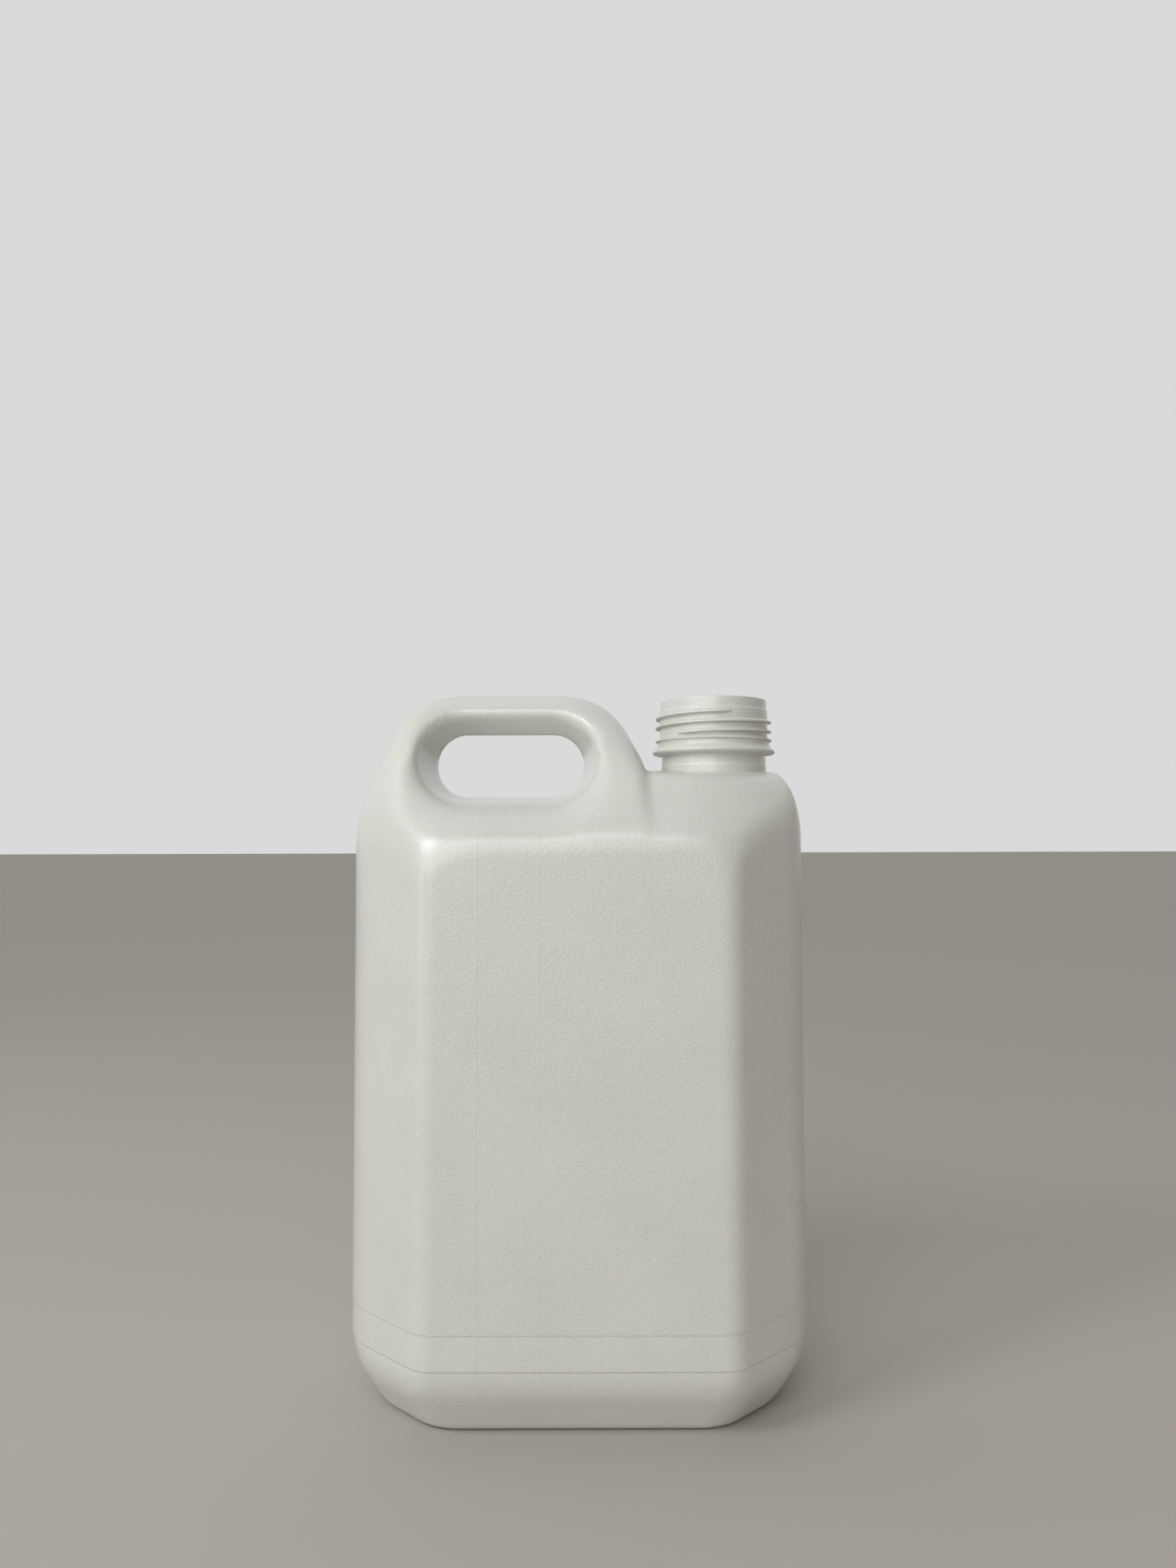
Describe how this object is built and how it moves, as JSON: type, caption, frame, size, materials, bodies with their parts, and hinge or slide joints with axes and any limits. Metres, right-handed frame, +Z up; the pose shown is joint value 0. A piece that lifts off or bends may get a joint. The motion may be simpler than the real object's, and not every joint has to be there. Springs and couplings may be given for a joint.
{
  "type": "plastic jerrycan",
  "caption": "Off-white blow-moulded plastic jerrycan with chamfered corners, a loop handle moulded into the shoulder and an open screw neck.",
  "frame": {"origin": "centre of the base, on the plane it stands on", "axes": "+Z up, the broad front panel faces -Y, the screw neck is on the +X side and the handle on the -X side"},
  "size_m": [0.1676, 0.1061, 0.2601],
  "materials": {
    "plastic": "satin"
  },
  "bodies": {
    "root": {"jerrycan": "plastic"}
  },
  "joints": []
}
